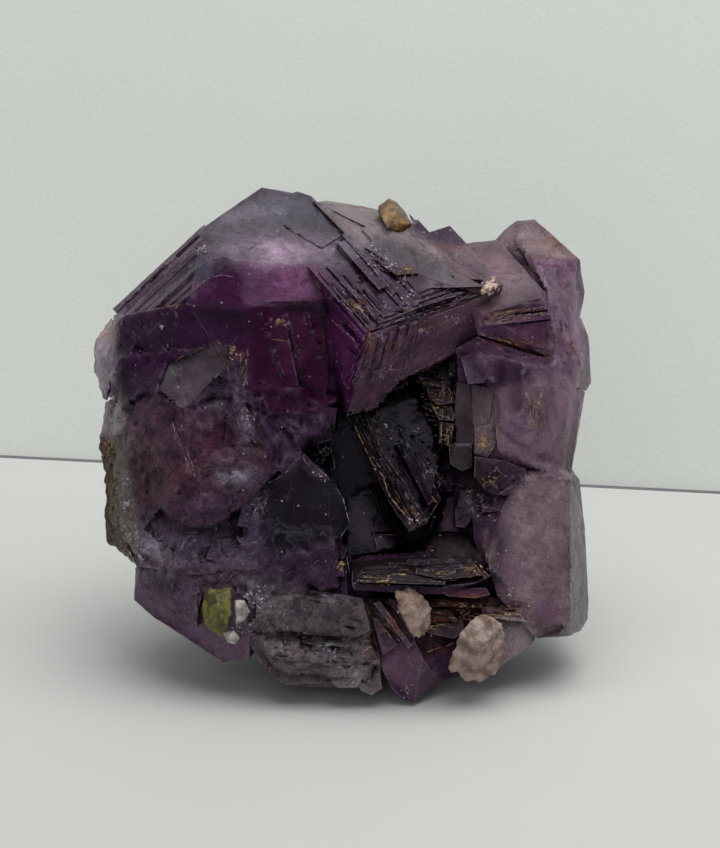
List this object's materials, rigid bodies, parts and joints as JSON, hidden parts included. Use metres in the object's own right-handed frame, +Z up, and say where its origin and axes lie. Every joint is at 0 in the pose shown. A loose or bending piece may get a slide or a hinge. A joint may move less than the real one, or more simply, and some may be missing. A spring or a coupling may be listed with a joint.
{
  "type": "fluorite crystal cluster",
  "caption": "Hand specimen of intergrown translucent purple fluorite with a stepped cube corner, a dark hollow and small perched grains; free-standing on a flat underside.",
  "frame": {"origin": "centre of the bounding box's underside, on the flat patch that the specimen stands on", "axes": "+Z up as it stands; -Y is the front, with the stepped cube corner and the hollow; +X is to the right seen from the front"},
  "size_m": [0.0624, 0.048, 0.0586],
  "materials": {
    "fluorite": "vitreous, translucent deep purple, dusty in places",
    "siderite": "resinous, tan brown",
    "calcite": "dull, pale pinkish beige",
    "yellow_green_mineral": "resinous, dull yellow-green",
    "white_mineral": "dull, off-white"
  },
  "bodies": {
    "root": {"fluorite_cluster": "fluorite", "siderite_crystal": "siderite", "calcite_crystal_large": "calcite", "calcite_crystal_small": "calcite", "yellow_green_grain": "yellow_green_mineral", "white_grain": "white_mineral", "white_crumb": "white_mineral"}
  },
  "joints": []
}
